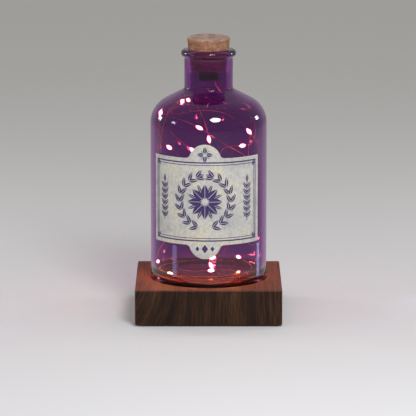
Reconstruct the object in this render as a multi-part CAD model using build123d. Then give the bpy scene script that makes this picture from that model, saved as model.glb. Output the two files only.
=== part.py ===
from build123d import *
import math
import os

# Cork-stoppered bottle light on a wooden block. Millimetres, +Z up, front towards -Y.
# The origin is the centre of the underside, on the surface that the felt pads stand on.

# Wooden block
block_border = 12.5
block_height = 30.0
block_chamfer = 0.8
recess_depth = 5.0
recess_gap = 0.6
recess_chamfer = 0.6
pad_radius = 7.0
pad_thickness = 1.2
pad_inset = 13.0

# Glass bottle, as a half section: radii and heights above its own foot
bottle_radius = 50.0
bottle_height = 203.1
bottle_wall = 3.5
heel_fillet = 5.0
punt_inset = 9.0
punt_rise = 4.0
punt_fillet = 9.0
punt_edge_fillet = 3.0
punt_flat_share = 0.72
floor_thickness = 5.0
floor_fillet = 8.0
shoulder_fillet = 24.0
shoulder_slope_deg = 27.0
neck_radius = 20.85
neck_length = 34.0
neck_foot_fillet = 2.5
bore_foot_fillet = 5.0
bore_fillet = 6.0
lip_radius = 23.6
lip_height = 6.3
lip_fillet = 2.4
lip_top_fillet = 3.2
lip_foot_fillet = 0.9
mouth_radius = 17.45
mouth_fillet = 0.7

# Cork stopper. Its top is cut a little slanting, lower at the front.
cork_taper = 0.1
cork_length = 28.0
cork_exposed = 10.0
cork_slant_deg = 3.0
cork_fit = 0.05
cork_top_fillet = 1.3
cork_foot_chamfer = 0.8

# Button cells and the battery holder
cell_radius = 5.8
cell_height = 5.4
cell_count = 3
cell_rim_chamfer = 0.35
cell_play = 0.15
tray_wall = 1.0
tray_lip = 1.6
web_thickness = 0.9
tray_play = 0.3
top_play = 0.5
sleeve_wall = 1.2
sleeve_cap = 1.0
sleeve_drop = 3.0
sleeve_glue = 0.05
flange_radius = 10.6
flange_thickness = 1.2
head_height = 5.0
head_wall = 1.05
head_flutes = 18
flute_radius = 0.6
flute_depth = 0.25
face_fit = 0.3
cover_thickness = 1.0
cover_fit = 0.05

# Contacts, circuit board and switch
strip_thickness = 0.3
strip_width = 3.0
strip_play = 0.1
leaf_width = 4.0
leaf_half_span = 4.4
leaf_rise = 2.2
board_radius = 7.2
board_thickness = 0.8
board_gap = 0.2
resistor_length = 3.2
resistor_width = 1.6
resistor_height = 0.6
resistor_offset = 4.4
switch_length = 7.0
switch_width = 3.6
switch_height = 2.0
switch_wall = 0.5
switch_play = 0.15
knob_travel = 2.0
knob_length = 1.4
knob_width = 1.2
knob_drop = 0.9
foot_length = 2.6
foot_height = 0.8

# Light string: wire, LED beads and the places along the wire
wire_radius = 0.4
wire_sides = 6
bead_radius = 1.5
bead_length = 4.6
bead_chamfer = 0.7
bead_sides = 8
bead_count = 20
bead_pitch = 95.0
chip_length = 1.6
chip_width = 0.8
chip_height = 0.35
chip_gap = 0.1
bend_share = 0.45
grommet_x = 5.45
grommet_y = -0.9
grommet_radius = 1.5
grommet_rim = 1.8
grommet_nose = 1.0
grommet_collar = 0.4
grommet_bore_fit = 0.05

# Paper label, centred at the front and turned a little to the left.
# Its span is the share of the bottle's width that it covers, seen from the front.
label_span = 0.87
label_height = 74.7
label_centre_height = 79.2
label_thickness = 0.25
label_glue = 0.05
label_turn_deg = -3.6
tab_radius = 13.5
tab_sink = 1.6
tab_fillet = 4.0

overrun = 2.0

# Widths that follow from the bottle's radius
block_width = 2 * (bottle_radius + block_border)
punt_radius = bottle_radius - punt_inset
label_width = label_span * 2 * bottle_radius

# Heights that follow from the sizes above
block_top = pad_thickness + block_height
bottle_foot = block_top - recess_depth
lip_top = bottle_foot + bottle_height
cork_top = lip_top + cork_exposed
cork_foot = cork_top - cork_length
sleeve_foot = cork_foot - sleeve_drop
head_top = sleeve_foot - face_fit
head_foot = head_top - head_height
cradle_radius = cell_radius + cell_play
tray_radius = cradle_radius + tray_wall
sleeve_bore = tray_radius + tray_play
sleeve_radius = sleeve_bore + sleeve_wall
cup_radius = sleeve_radius - head_wall
web_top = head_top
web_foot = web_top - web_thickness
stack_foot = web_top + leaf_rise + strip_thickness
stack_top = stack_foot + cell_count * cell_height
cradle_top = stack_top + strip_thickness
tray_top = cradle_top + tray_wall
sleeve_ceiling = tray_top + top_play
sleeve_top = sleeve_ceiling + sleeve_cap
board_top = web_foot - board_gap
board_foot = board_top - board_thickness
switch_foot = board_foot - switch_height
cover_top = head_foot + cover_thickness
exit_height = head_foot - grommet_nose

# The lead from the grommet to the first LED, then the string as it lies in the bottle.
# Both routes are chosen by hand: the wire hugs the glass, hangs in loops and lies on the floor.
# They are laid out for this inside radius, height of the bottle's foot and height of the exit.
route_radius = 46.5
route_foot = 26.2
route_exit = 202.0
lead_route = [
    (5.8, -1.1, 197.8), (9.8, -3.6, 194.6), (12.4, 4, 190.2), (8.5, 14.5, 189.2),
    (-3, 18, 188.6), (-14, 15.8, 187.8), (-25, 11.5, 186), (-35.5, 6.5, 181.8), (-39.1, -0.7, 179.7), (-41, -1, 174),
]
string_route = [
    (-41, -1, 174), (-43.8, -1.4, 165.5), (-44.8, -2.5, 152), (-43.5, -4, 139.5),
    (-40.5, -12.2, 139.5), (-40, -14.5, 151.5), (-38.5, -15, 166), (-34, -14, 176.5),
    (-27.5, -18.7, 180.8), (-20.5, -14.3, 185.3), (-25.3, -5, 185.2), (-23.6, 6, 186),
    (-15, 8, 187.7), (-12.8, -1, 188.2), (-12, -12, 187.4), (-9.8, -23, 184.2),
    (-6, -33.5, 178.5), (-1.9, -41.3, 169), (0.3, -44.5, 159), (2.5, -44.3, 146),
    (5.5, -43, 131), (0, -42, 117), (-12, -40.5, 116), (-17, -41, 129),
    (-22, -38.5, 142), (-31, -32, 148), (-39, -20.5, 153.5), (-42.5, -9, 159.5),
    (-42.3, -1, 166), (-40.5, -4, 173), (-37, -14, 175.2), (-30.5, -27, 174.3),
    (-21.5, -35.5, 173), (-13, -40, 170.3), (-2.5, -41.3, 165), (7, -41.5, 157.5),
    (19, -38, 150), (29.5, -31.5, 143), (35.8, -21, 135.5), (38.5, -7, 131),
    (36.8, 7.5, 131), (34.5, 17, 138.5), (36.5, 15.5, 151), (37.5, 9, 164),
    (35.5, -1, 172), (38, -11.5, 170), (39.3, -18.5, 161), (37, -25.5, 152.8),
    (28, -34, 150.8), (17, -40.5, 152.5), (9.5, -43, 149), (9.5, -41.5, 136),
    (15, -39, 123), (25, -33, 113), (35.5, -22, 106), (41, -4, 102),
    (37.5, 18, 101), (27, 35, 107), (11, 43.3, 116), (-6, 43.5, 126),
    (-20, 39.5, 138), (-31, 30.5, 149), (-37, 20, 159.5), (-37.5, 6, 170),
    (-33.5, -4.5, 178), (-26, -9.5, 184), (-19, -13, 186.9), (-16, -19.5, 186),
    (-21.5, -23.5, 183.8), (-29.5, -20.2, 181), (-31.5, -27.7, 176.8), (-22.5, -31, 177.5),
    (-11, -32.8, 180.6), (4, -34.5, 181), (17, -32.5, 177.4), (28, -29.3, 169.5),
    (35, -27, 160.5), (40, -19, 151.5), (42.4, -13.5, 140), (42.5, -13, 126.5),
    (38, -23.5, 113), (26, -36, 101.5), (14, -42, 91), (-2, -44.3, 81),
    (-20, -39.8, 74), (-35, -28, 69), (-43.5, -10, 66), (-42, 12, 63),
    (-33, 29, 60), (-18, 40.5, 57), (0, 44.3, 54), (18, 40.5, 51),
    (32, 30, 47.5), (40, 17, 46), (40.5, 14.5, 55), (38, 21.5, 63),
    (29, 33, 68), (20.5, 39.5, 64.5), (18.5, 40.8, 58), (17, 41, 49),
    (11, 42.7, 40.5), (2, 43.8, 37.5), (-11, 42.7, 36.7), (-26, 35.5, 36.5),
    (-38.5, 22, 37), (-43.5, 5, 38), (-41.5, -10.5, 38), (-31.5, -21.5, 37),
    (-19, -31.5, 36.6), (-3, -36, 36.6), (12, -33.5, 37), (23.5, -25, 38),
    (22.5, -12.5, 39), (11.5, -12, 39.5), (2, -20, 40.2), (-14, -23, 40),
    (-26, -13.5, 40), (-27, 3, 40), (-26, 19, 40.5), (-35, 23.5, 42),
    (-43, 12, 42.5), (-44.8, -3, 44), (-43.5, -13, 54), (-36, -24, 68),
    (-24.5, -33, 76), (-10.5, -40, 75), (-2.5, -43.5, 62), (2, -43.5, 48),
    (10.5, -41, 40), (25, -34, 38.5), (37.5, -20, 38.5), (42.5, -2, 39),
    (39.5, 15, 39.5), (29, 28, 40),
]


def turned(corners):
    """Revolve a half section about Z. Each corner is (radius, height, rounding)."""
    points = [(radius, height) for radius, height, rounding in corners]
    roundings = [rounding for radius, height, rounding in corners]
    with BuildPart() as part:
        with BuildSketch(Plane.XZ):
            with BuildLine():
                FilletPolyline(*points, radius=roundings, close=True)
            make_face()
        revolve(axis=Axis.Z)
    return part.part


def tube(outer, inner, foot, top):
    """A plain round tube between two heights."""
    return turned([(inner, foot, 0), (outer, foot, 0), (outer, top, 0), (inner, top, 0)])


def disc(radius, foot, top):
    """A plain disc between two heights."""
    return Pos(0, 0, foot) * Cylinder(radius, top - foot, align=(Align.CENTER, Align.CENTER, Align.MIN))


def brick(x_low, x_high, y_low, y_high, z_low, z_high):
    """A box between two corners."""
    size = (x_high - x_low, y_high - y_low, z_high - z_low)
    return Pos(x_low, y_low, z_low) * Box(*size, align=Align.MIN)


def make_wood_base():
    """The block, its edges eased, with a shallow round seat for the bottle."""
    half = block_width / 2
    base = brick(-half, half, -half, half, pad_thickness, block_top)
    base = chamfer(base.edges(), block_chamfer)
    seat_radius = bottle_radius + recess_gap
    base -= disc(seat_radius, bottle_foot, block_top + overrun)
    rim = base.edges().filter_by(GeomType.CIRCLE).sort_by(Axis.Z)[-1]
    return chamfer(rim, recess_chamfer)


def make_felt_pads():
    """Four round felt pads under the corners."""
    place = block_width / 2 - pad_inset
    pad = disc(pad_radius, 0, pad_thickness)
    return Compound([Pos(x, y, 0) * pad for x in (-place, place) for y in (-place, place)])


def make_glass_bottle():
    """Blown bottle: rounded shoulder, straight neck, rolled lip, pushed-up floor, tapered mouth."""
    slope = math.tan(math.radians(shoulder_slope_deg))
    drop = bottle_wall / math.cos(math.radians(shoulder_slope_deg))
    neck_foot = bottle_height - neck_length
    shoulder_edge = neck_foot - slope * (bottle_radius - neck_radius)
    seat = cork_length - cork_exposed
    bore_radius = mouth_radius - cork_taper * seat
    inner_radius = bottle_radius - bottle_wall
    inner_edge = neck_foot - drop - slope * (inner_radius - neck_radius)
    inner_foot = neck_foot - drop + slope * (neck_radius - bore_radius)
    punt_top = punt_radius * punt_flat_share
    corners = [
        (0, punt_rise, 0),
        (punt_top, punt_rise, punt_fillet),
        (punt_radius, 0, punt_edge_fillet),
        (bottle_radius, 0, heel_fillet),
        (bottle_radius, shoulder_edge, shoulder_fillet),
        (neck_radius, neck_foot, neck_foot_fillet),
        (neck_radius, bottle_height - lip_height, lip_foot_fillet),
        (lip_radius, bottle_height - lip_height, lip_fillet),
        (lip_radius, bottle_height, lip_top_fillet),
        (mouth_radius, bottle_height, mouth_fillet),
        (bore_radius, bottle_height - seat, 0),
        (bore_radius, inner_foot, bore_foot_fillet),
        (inner_radius, inner_edge, shoulder_fillet - bottle_wall),
        (inner_radius, floor_thickness, floor_fillet),
        (punt_top, punt_rise + floor_thickness, punt_fillet),
        (0, punt_rise + floor_thickness, 0),
    ]
    return Pos(0, 0, bottle_foot) * turned(corners)


def make_paper_label():
    """Paper wrapped on the front: a rectangle with a round tab above and below."""
    middle = bottle_foot + label_centre_height
    inner = bottle_radius + label_glue
    edge = label_height / 2 - tab_sink
    with BuildSketch(Plane.XZ) as outline:
        Rectangle(label_width, label_height)
        with Locations((0, edge), (0, -edge)):
            Circle(tab_radius)
        joins = [v for v in outline.vertices() if abs(v.X) < tab_radius]
        fillet(joins, tab_fillet)
    front = Pos(0, 0, middle) * extrude(outline.sketch, bottle_radius + overrun)
    reach = label_height / 2 + tab_radius
    paper = tube(inner + label_thickness, inner, middle - reach, middle + reach) & front
    return Rot(0, 0, label_turn_deg) * paper


def make_cork_stopper():
    """Tapered cork with a slanting top and an eased edge, bored from below for the battery sleeve."""
    foot_radius = mouth_radius - cork_fit - cork_taper * (lip_top - cork_foot)
    blank_top = cork_top + mouth_radius * math.tan(math.radians(cork_slant_deg)) + overrun
    blank_radius = foot_radius + cork_taper * (blank_top - cork_foot)
    bore = sleeve_radius + sleeve_glue
    roof = sleeve_top + sleeve_glue
    shaft = foot_radius - cork_foot_chamfer
    rise = cork_foot + cork_foot_chamfer
    corners = [
        (0, roof, 0),
        (bore, roof, 0),
        (bore, cork_foot, 0),
        (shaft, cork_foot, 0),
        (foot_radius + cork_taper * cork_foot_chamfer, rise, 0),
        (blank_radius, blank_top, 0),
        (0, blank_top, 0),
    ]
    slanting = Pos(0, 0, cork_top) * Rot(cork_slant_deg, 0, 0)
    cork = turned(corners) - slanting * disc(lip_radius, 0, blank_top - cork_foot)
    top_face = cork.faces().sort_by(Axis.Z)[-1]
    return fillet(top_face.edges(), cork_top_fillet)


def make_battery_sleeve():
    """Moulded cup glued into the cork, open below, its flange against the cork's foot."""
    flange_foot = cork_foot - flange_thickness
    corners = [
        (0, sleeve_ceiling, 0),
        (sleeve_bore, sleeve_ceiling, 0),
        (sleeve_bore, sleeve_foot, 0),
        (sleeve_radius, sleeve_foot, 0),
        (sleeve_radius, flange_foot, 0),
        (flange_radius, flange_foot, 0),
        (flange_radius, cork_foot, 0),
        (sleeve_radius, cork_foot, 0),
        (sleeve_radius, sleeve_top, 0),
        (0, sleeve_top, 0),
    ]
    return turned(corners)


def make_battery_tray():
    """Pull-out holder: a fluted head with a cup for the board, and an open cradle for the cells."""
    cradle = tube(tray_radius, cradle_radius, web_top, tray_top)
    cradle += disc(tray_radius, cradle_top, tray_top)
    mouth = brick(-tray_radius, tray_radius, -tray_radius, -tray_lip, web_top, cradle_top)
    cradle -= mouth
    head = disc(sleeve_radius, head_foot, head_top)
    flute = disc(flute_radius, head_foot - overrun, head_top + overrun)
    ring = sleeve_radius + flute_radius - flute_depth
    head -= [Rot(0, 0, 360 * k / head_flutes) * Pos(ring, 0, 0) * flute for k in range(head_flutes)]
    head -= disc(cup_radius, head_foot - overrun, web_foot)
    tray = head + cradle
    half = strip_width / 2 + strip_play
    back = tray_radius - strip_thickness - 2 * strip_play
    tray -= brick(-half, half, back, tray_radius + tray_wall, web_top, tray_top + overrun)
    tray -= brick(-half, half, back, tray_radius, web_foot - overrun, web_top)
    tray -= brick(-half, half, 0, back, stack_top, cradle_top)
    tail = leaf_half_span + strip_thickness + strip_play
    width = leaf_width / 2 + strip_play
    tray -= brick(-tail, strip_play - leaf_half_span, -width, width, web_foot - overrun, web_top)
    return tray


def make_cell(number):
    """One button cell, its rim eased."""
    foot = stack_foot + number * cell_height
    cell = disc(cell_radius, foot, foot + cell_height)
    return chamfer(cell.edges(), cell_rim_chamfer)


def make_positive_contact():
    """Bent strip over the top cell and down the cradle's back to the board."""
    half = strip_width / 2
    outer = tray_radius - strip_play
    inner = outer - strip_thickness
    pad = brick(-half, half, -half, outer, stack_top, stack_top + strip_thickness)
    return pad + brick(-half, half, inner, outer, board_top, stack_top + strip_thickness)


def make_negative_leaf():
    """Bowed leaf spring under the lowest cell, with a tail down to the board."""
    crown = web_top + leaf_rise
    with BuildPart() as leaf:
        with BuildSketch(Plane.XZ):
            with BuildLine():
                under = ThreePointArc((-leaf_half_span, web_top), (0, crown), (leaf_half_span, web_top))
                over = ThreePointArc(
                    (-leaf_half_span - strip_thickness, web_top),
                    (0, crown + strip_thickness),
                    (leaf_half_span + strip_thickness, web_top),
                )
                Line(under @ 0, over @ 0)
                Line(under @ 1, over @ 1)
            make_face()
        extrude(amount=leaf_width / 2, both=True)
    half = leaf_width / 2
    tail = brick(-leaf_half_span - strip_thickness, -leaf_half_span, -half, half, board_top, web_top)
    return leaf.part + tail


def make_circuit_board():
    """Round board in the head's cup."""
    return disc(board_radius, board_foot, board_top)


def make_series_resistor():
    """Chip resistor under the board."""
    half = resistor_width / 2
    low = resistor_offset - half
    high = resistor_offset + half
    reach = resistor_length / 2
    return brick(-reach, reach, low, high, board_foot - resistor_height, board_foot)


def knob_slot(gap, low, high):
    """The slot that the knob's stem runs in."""
    reach = (knob_travel + knob_length) / 2 + gap
    width = knob_width / 2 + gap
    return brick(-reach, reach, -width, width, low, high)


def make_switch_housing():
    """Slide switch body: a closed box with a hollow for the knob's foot and a slot below."""
    half = switch_length / 2
    side = switch_width / 2
    body = brick(-half, half, -side, side, switch_foot, board_foot)
    hollow = brick(
        -half + switch_wall, half - switch_wall, -side + switch_wall, side - switch_wall,
        switch_foot + switch_wall, board_foot - switch_wall,
    )
    body -= hollow
    return body - knob_slot(switch_play, switch_foot - overrun, switch_foot + switch_wall)


def make_switch_knob():
    """Slider knob: a foot inside the switch and a stem through the end cover, at ON."""
    centre = -knob_travel / 2
    foot_low = switch_foot + switch_wall + switch_play
    side = switch_width / 2 - switch_wall - switch_play
    foot = brick(
        centre - foot_length / 2, centre + foot_length / 2, -side, side, foot_low, foot_low + foot_height,
    )
    half = knob_length / 2
    width = knob_width / 2
    return foot + brick(centre - half, centre + half, -width, width, head_foot - knob_drop, foot_low)


def make_end_cover():
    """Disc that closes the head, with the knob's slot and the grommet's hole."""
    cover = disc(cup_radius - cover_fit, head_foot, cover_top)
    cover -= knob_slot(switch_play, head_foot - overrun, cover_top + overrun)
    hole = disc(grommet_radius + cover_fit, head_foot - overrun, cover_top + overrun)
    return cover - Pos(grommet_x, grommet_y, 0) * hole


def make_wire_grommet():
    """Rubber bush with a nose outside the cover and a thin collar inside it."""
    bore = wire_radius + grommet_bore_fit
    corners = [
        (bore, exit_height, 0),
        (grommet_radius, exit_height, 0),
        (grommet_rim, head_foot, 0),
        (grommet_radius, head_foot, 0),
        (grommet_radius, cover_top, 0),
        (grommet_rim, cover_top, 0),
        (grommet_radius, cover_top + grommet_collar, 0),
        (bore, cover_top + grommet_collar, 0),
    ]
    return Pos(grommet_x, grommet_y, 0) * turned(corners)


def make_lead_stub():
    """The lead's end inside the head, from the board through the grommet."""
    return Pos(grommet_x, grommet_y, 0) * disc(wire_radius, exit_height, board_foot)


def bend_radii(corners):
    """One radius for each bend, as large as the shorter of its two runs allows."""
    points = [Vector(*corner) for corner in corners]
    radii = []
    for before, here, after in zip(points, points[1:], points[2:]):
        run_in = here - before
        run_out = after - here
        turn = math.radians(run_in.get_angle(run_out))
        shorter = min(run_in.length, run_out.length)
        radii.append(bend_share * shorter / math.tan(turn / 2))
    return radii


def laid_in_bottle(route):
    """Spread a route to the bottle's inside width, and stretch it from the foot to the exit."""
    spread = (bottle_radius - bottle_wall) / route_radius
    rise = (exit_height - bottle_foot) / (route_exit - route_foot)
    return [(x * spread, y * spread, bottle_foot + (z - route_foot) * rise) for x, y, z in route]


def lead_points():
    """The lead's whole route, from the grommet."""
    return [(grommet_x, grommet_y, exit_height)] + laid_in_bottle(lead_route)


def wire_path(points):
    """Straight runs joined by tangent arcs."""
    return FilletPolyline(*points, radius=bend_radii(points))


def make_wire(name, points):
    """A wire along its route, as a many-sided tube."""
    path = wire_path(points)
    start = Plane(origin=path @ 0, z_dir=path % 0)
    section = start * RegularPolygon(wire_radius, wire_sides)
    wire = sweep(section, path=path)
    radii = bend_radii(points)
    print(name, "bends from %.1f to %.1f mm" % (min(radii), max(radii)))
    print(name, "length %.0f mm, volume %.1f" % (path.length, wire.volume))
    print(name, "section times length %.1f" % (section.area * path.length))
    return wire


def bead_planes():
    """A plane across the wire at each LED: one at the first end, then one every pitch."""
    path = wire_path(laid_in_bottle(string_route))
    planes = []
    for number in range(bead_count):
        share = number * bead_pitch / path.length
        planes.append(Plane(origin=path @ share, z_dir=path % share))
    return planes


def make_led_chips():
    """The chip in each bead, beside the wire."""
    offset = wire_radius + chip_gap + chip_height / 2
    chip = Pos(offset, 0, 0) * Box(chip_height, chip_width, chip_length)
    return Compound([plane.location * chip for plane in bead_planes()])


def make_led_beads(wires, chips):
    """Clear resin beads, each cast round the wire and its chip."""
    with BuildPart() as blank:
        with BuildSketch():
            RegularPolygon(bead_radius, bead_sides)
        extrude(amount=bead_length / 2, both=True)
        ends = blank.faces().filter_by(Axis.Z).edges()
        chamfer(ends, bead_chamfer)
    beads = []
    for plane, chip in zip(bead_planes(), chips.solids()):
        bead = plane.location * blank.part - chip
        for wire in wires:
            bead -= wire
        beads.append(bead.solid())
    return Compound(beads)


def main():
    os.makedirs("parts", exist_ok=True)
    lead_wire = make_wire("lead_wire", lead_points())
    string_wire = make_wire("string_wire", laid_in_bottle(string_route))
    led_chips = make_led_chips()
    nodes = {
        "wood_base": make_wood_base(),
        "felt_pads": make_felt_pads(),
        "glass_bottle": make_glass_bottle(),
        "paper_label": make_paper_label(),
        "cork_stopper": make_cork_stopper(),
        "battery_sleeve": make_battery_sleeve(),
        "battery_tray": make_battery_tray(),
        "positive_contact": make_positive_contact(),
        "negative_leaf": make_negative_leaf(),
        "circuit_board": make_circuit_board(),
        "series_resistor": make_series_resistor(),
        "switch_housing": make_switch_housing(),
        "switch_knob": make_switch_knob(),
        "end_cover": make_end_cover(),
        "wire_grommet": make_wire_grommet(),
        "lead_stub": make_lead_stub(),
        "lead_wire": lead_wire,
        "string_wire": string_wire,
        "led_chips": led_chips,
        "led_beads": make_led_beads([lead_wire, string_wire], led_chips),
    }
    for number in range(cell_count):
        nodes[f"button_cell_{number + 1}"] = make_cell(number)
    for name, solid in nodes.items():
        export_step(solid, f"parts/{name}.step")


if __name__ == "__main__":
    main()
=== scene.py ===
# %% [markdown]
# # A cork-stoppered bottle light
# The object is a violet glass bottle with a cork, a paper label and a string of tiny lights
# inside, standing on a walnut block. The CAD model already holds every part at its real size,
# so this lesson loads it as a fixed frame, rebuilds the parts whose looks need more than a
# CAD solid has, and gives every part the finish of the real material.

import math

import bmesh
import bpy
from mathutils import Matrix, Vector


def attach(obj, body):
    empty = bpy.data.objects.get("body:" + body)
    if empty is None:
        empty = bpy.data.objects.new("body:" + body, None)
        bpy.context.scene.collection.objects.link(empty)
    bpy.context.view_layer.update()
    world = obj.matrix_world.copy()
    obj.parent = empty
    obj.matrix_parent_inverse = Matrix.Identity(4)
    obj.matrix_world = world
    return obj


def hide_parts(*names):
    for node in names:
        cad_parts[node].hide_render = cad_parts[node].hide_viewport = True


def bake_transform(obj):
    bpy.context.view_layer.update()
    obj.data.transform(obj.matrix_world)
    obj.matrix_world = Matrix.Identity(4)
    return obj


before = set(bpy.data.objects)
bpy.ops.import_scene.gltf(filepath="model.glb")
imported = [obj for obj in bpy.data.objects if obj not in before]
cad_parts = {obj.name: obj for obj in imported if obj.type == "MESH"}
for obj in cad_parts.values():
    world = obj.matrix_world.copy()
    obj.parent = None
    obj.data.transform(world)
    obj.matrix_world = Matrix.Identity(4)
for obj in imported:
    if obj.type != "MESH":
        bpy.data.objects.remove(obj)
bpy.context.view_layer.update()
mm = 0.001

# %% [markdown]
# ## The camera
# The picture was taken from 2.7 metres with a long lens, eleven degrees above the middle of the
# bottle. A far camera with a long lens keeps the sides of the block nearly parallel. It could be
# moved by eye until it fits, but its distance and aim were worked out from the block's two top
# edges and the ellipses of the lip and the foot, so they are typed in here as plain numbers.

# %% Make the camera
image_side = 416
focal_pixels = 3141
camera_distance = 2.710
camera_rise = math.radians(10.77)
aim = Vector((-0.0005, 0, 0.0908))

camera_data = bpy.data.cameras.new("photo_camera")
camera_data.sensor_width = 36
camera_data.lens = focal_pixels / image_side * camera_data.sensor_width
camera = bpy.data.objects.new("photo_camera", camera_data)
bpy.context.scene.collection.objects.link(camera)
camera.location = aim + camera_distance * Vector((0, -math.cos(camera_rise), math.sin(camera_rise)))
camera.rotation_euler = (math.radians(90) - camera_rise, 0, 0)
bpy.context.scene.camera = camera
print("lens in mm:", round(camera_data.lens))

# %% [markdown]
# ## The wire's way through the bottle
# A string of lights is one long springy copper wire pushed into the bottle by hand. It hugs the
# glass, hangs in loops under the shoulder and lies in rings on the floor. A simulation could
# coil it up, but not with the lights where the picture has them, so the points of the CAD source
# guide it, some of them moved by up to a centimetre. A NURBS line over them is smooth
# everywhere, which straight runs with rounded corners are not, so the wire looks bent by hand
# and not by a machine.

# %% Points of the two routes, in millimetres
lead_route = [
    (5.45, -0.9, 202), (5.8, -1.1, 197.8), (9.8, -3.6, 194.6), (12.4, 4, 190.2), (8.5, 14.5, 189.2),
    (-3, 18, 188.6), (-14, 15.8, 187.8), (-25, 11.5, 186), (-35.5, 6.5, 181.8), (-39.1, -0.7, 179.7),
    (-41, -1, 174),
]
string_route = [
    (-41, -1, 174), (-43.8, -1.4, 165.5), (-44.8, -2.5, 152), (-43.5, -4, 139.5),
    (-40.5, -12.2, 139.5), (-40, -14.5, 151.5), (-38.5, -15, 166), (-34, -14, 176.5),
    (-27.5, -18.7, 180.8), (-20.5, -14.3, 185.3), (-25.3, -5, 185.2), (-23.6, 6, 186),
    (-15, 8, 187.7), (-12.8, -1, 188.2), (-12, -12, 187.4), (-9.8, -23, 184.2),
    (-6, -33.5, 178.5), (-1.9, -41.3, 169), (0.3, -44.5, 159), (2.5, -44.3, 146),
    (5.5, -43, 131), (0, -42, 117), (-12, -40.5, 116), (-17, -41, 129),
    (-22, -38.5, 142), (-31, -32, 148), (-39, -20.5, 153.5), (-42.5, -9, 159.5),
    (-42.3, -1, 166), (-40.5, -4, 173), (-37, -14, 175.2), (-30.5, -27, 174.3),
    (-21.5, -35.5, 173), (-13, -40, 170.3), (-2.5, -41.3, 165), (7, -41.5, 157.5),
    (19, -38, 150), (29.5, -31.5, 143), (35.8, -21, 135.5), (38.5, -7, 128),
    (36.8, 7.5, 126.5), (34.5, 18, 135), (36.5, 15.5, 151), (37.5, 9, 164),
    (35.5, -1, 172), (38, -11.5, 170), (39.3, -18.5, 161), (37, -25.5, 152.8),
    (28, -34, 150.8), (17, -40.5, 152.5), (9.5, -43, 149), (9.5, -41.5, 136),
    (15, -39, 123), (25, -33, 113), (35.5, -22, 106), (40, -2, 103),
    (35, 18, 103), (27, 35, 107), (11, 43.3, 116), (-6, 43.5, 127.5),
    (-20, 39.5, 139.5), (-31, 30.5, 149), (-37, 20, 159.5), (-37.5, 6, 170),
    (-33.5, -4.5, 178), (-26, -9.5, 184), (-19, -13, 186.9), (-16, -19.5, 186),
    (-21.5, -23.5, 183.8), (-29.5, -20.2, 181), (-31.5, -27.7, 176.8), (-22.5, -31, 177.5),
    (-11, -32.8, 180.6), (4, -34.5, 181), (17, -32.5, 177.4), (28, -29.3, 169.5),
    (35, -27, 160.5), (40, -19, 151.5), (42.4, -13.5, 140), (42.5, -13, 126.5),
    (38, -23.5, 113), (26, -36, 101.5), (14, -42, 91), (-2, -44.3, 81),
    (-20, -39.8, 74), (-35, -28, 69), (-43.5, -10, 66), (-42, 12, 63),
    (-33, 29, 60), (-18, 40.5, 57), (0, 44.3, 54), (18, 40.5, 58),
    (31, 30.5, 57), (40.5, 18, 53), (41.5, 14, 59), (38, 21.5, 65),
    (29, 33, 71.5), (20.5, 39.5, 68), (18.5, 40.8, 58), (17, 41, 49),
    (11, 42.7, 40.5), (2, 43.8, 37.5), (-11, 42.7, 36.7), (-26, 35.5, 36.5),
    (-38.5, 22, 37), (-43.5, 5, 38), (-41.5, -10.5, 38), (-31.5, -21.5, 37),
    (-19, -31.5, 36.6), (-3, -36, 36.6), (12, -33.5, 37), (23.5, -25, 38),
    (22.5, -12.5, 39), (11.5, -12, 39.5), (2, -20, 40.2), (-14, -23, 40),
    (-26, -13.5, 40), (-27, 3, 40), (-26, 19, 40.5), (-35, 23.5, 42),
    (-43, 12, 42.5), (-44.8, -3, 44), (-43.5, -13, 54), (-36, -24, 68),
    (-24.5, -33, 75), (-10.5, -40, 74), (-2.5, -43.5, 62), (2, -43.5, 48),
    (10.5, -41, 40), (23, -31.5, 38.5), (34, -19, 38.5), (38.5, -1, 39),
    (35, 18.5, 40), (23, 33, 43),
]
print("route points:", len(lead_route), "and", len(string_route))

# %% Draw each route as one smooth line


def smooth_line(route):
    """Points of a NURBS line over the route, as Blender itself works them out."""
    data = bpy.data.curves.new("route_line", "CURVE")
    data.dimensions = "3D"
    spline = data.splines.new("NURBS")
    spline.points.add(len(route) - 1)
    for point, place in zip(spline.points, route):
        point.co = [value * mm for value in place] + [1]
    spline.order_u = 3
    spline.use_endpoint_u = True
    spline.resolution_u = 8
    holder = bpy.data.objects.new("route_line", data)
    mesh = bpy.data.meshes.new_from_object(holder)
    line = [vertex.co.copy() for vertex in mesh.vertices]
    bpy.data.meshes.remove(mesh)
    bpy.data.objects.remove(holder)
    bpy.data.curves.remove(data)
    return line


def length_of(line):
    """Length along a line of points."""
    return sum((second - first).length for first, second in zip(line, line[1:]))


lead_line = smooth_line(lead_route)
string_line = smooth_line(string_route)
print("lead in mm:", round(length_of(lead_line) / mm), "string in mm:", round(length_of(string_line) / mm))

# %% [markdown]
# ## From a bmesh to a piece
# Every new piece ends the same way: its bmesh becomes a mesh, its object stays at the origin,
# and it rides on one body of the frame. The steps could be written out for each piece, but one
# helper does them all, so that no piece forgets a step.

# %% Make a piece


def make_piece(name, bm, material, body, smooth_below=40):
    """Turn a bmesh into an object that rides on a body. Edges sharper than the angle stay crisp."""
    mesh = bpy.data.meshes.new(name)
    bm.to_mesh(mesh)
    bm.free()
    mesh.materials.append(material)
    mesh.shade_smooth()
    mesh.set_sharp_from_angle(angle=math.radians(smooth_below))
    piece = bpy.data.objects.new(name, mesh)
    bpy.context.scene.collection.objects.link(piece)
    if body:
        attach(piece, body)
    print(name, "has", len(mesh.polygons), "faces")
    return piece


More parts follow.
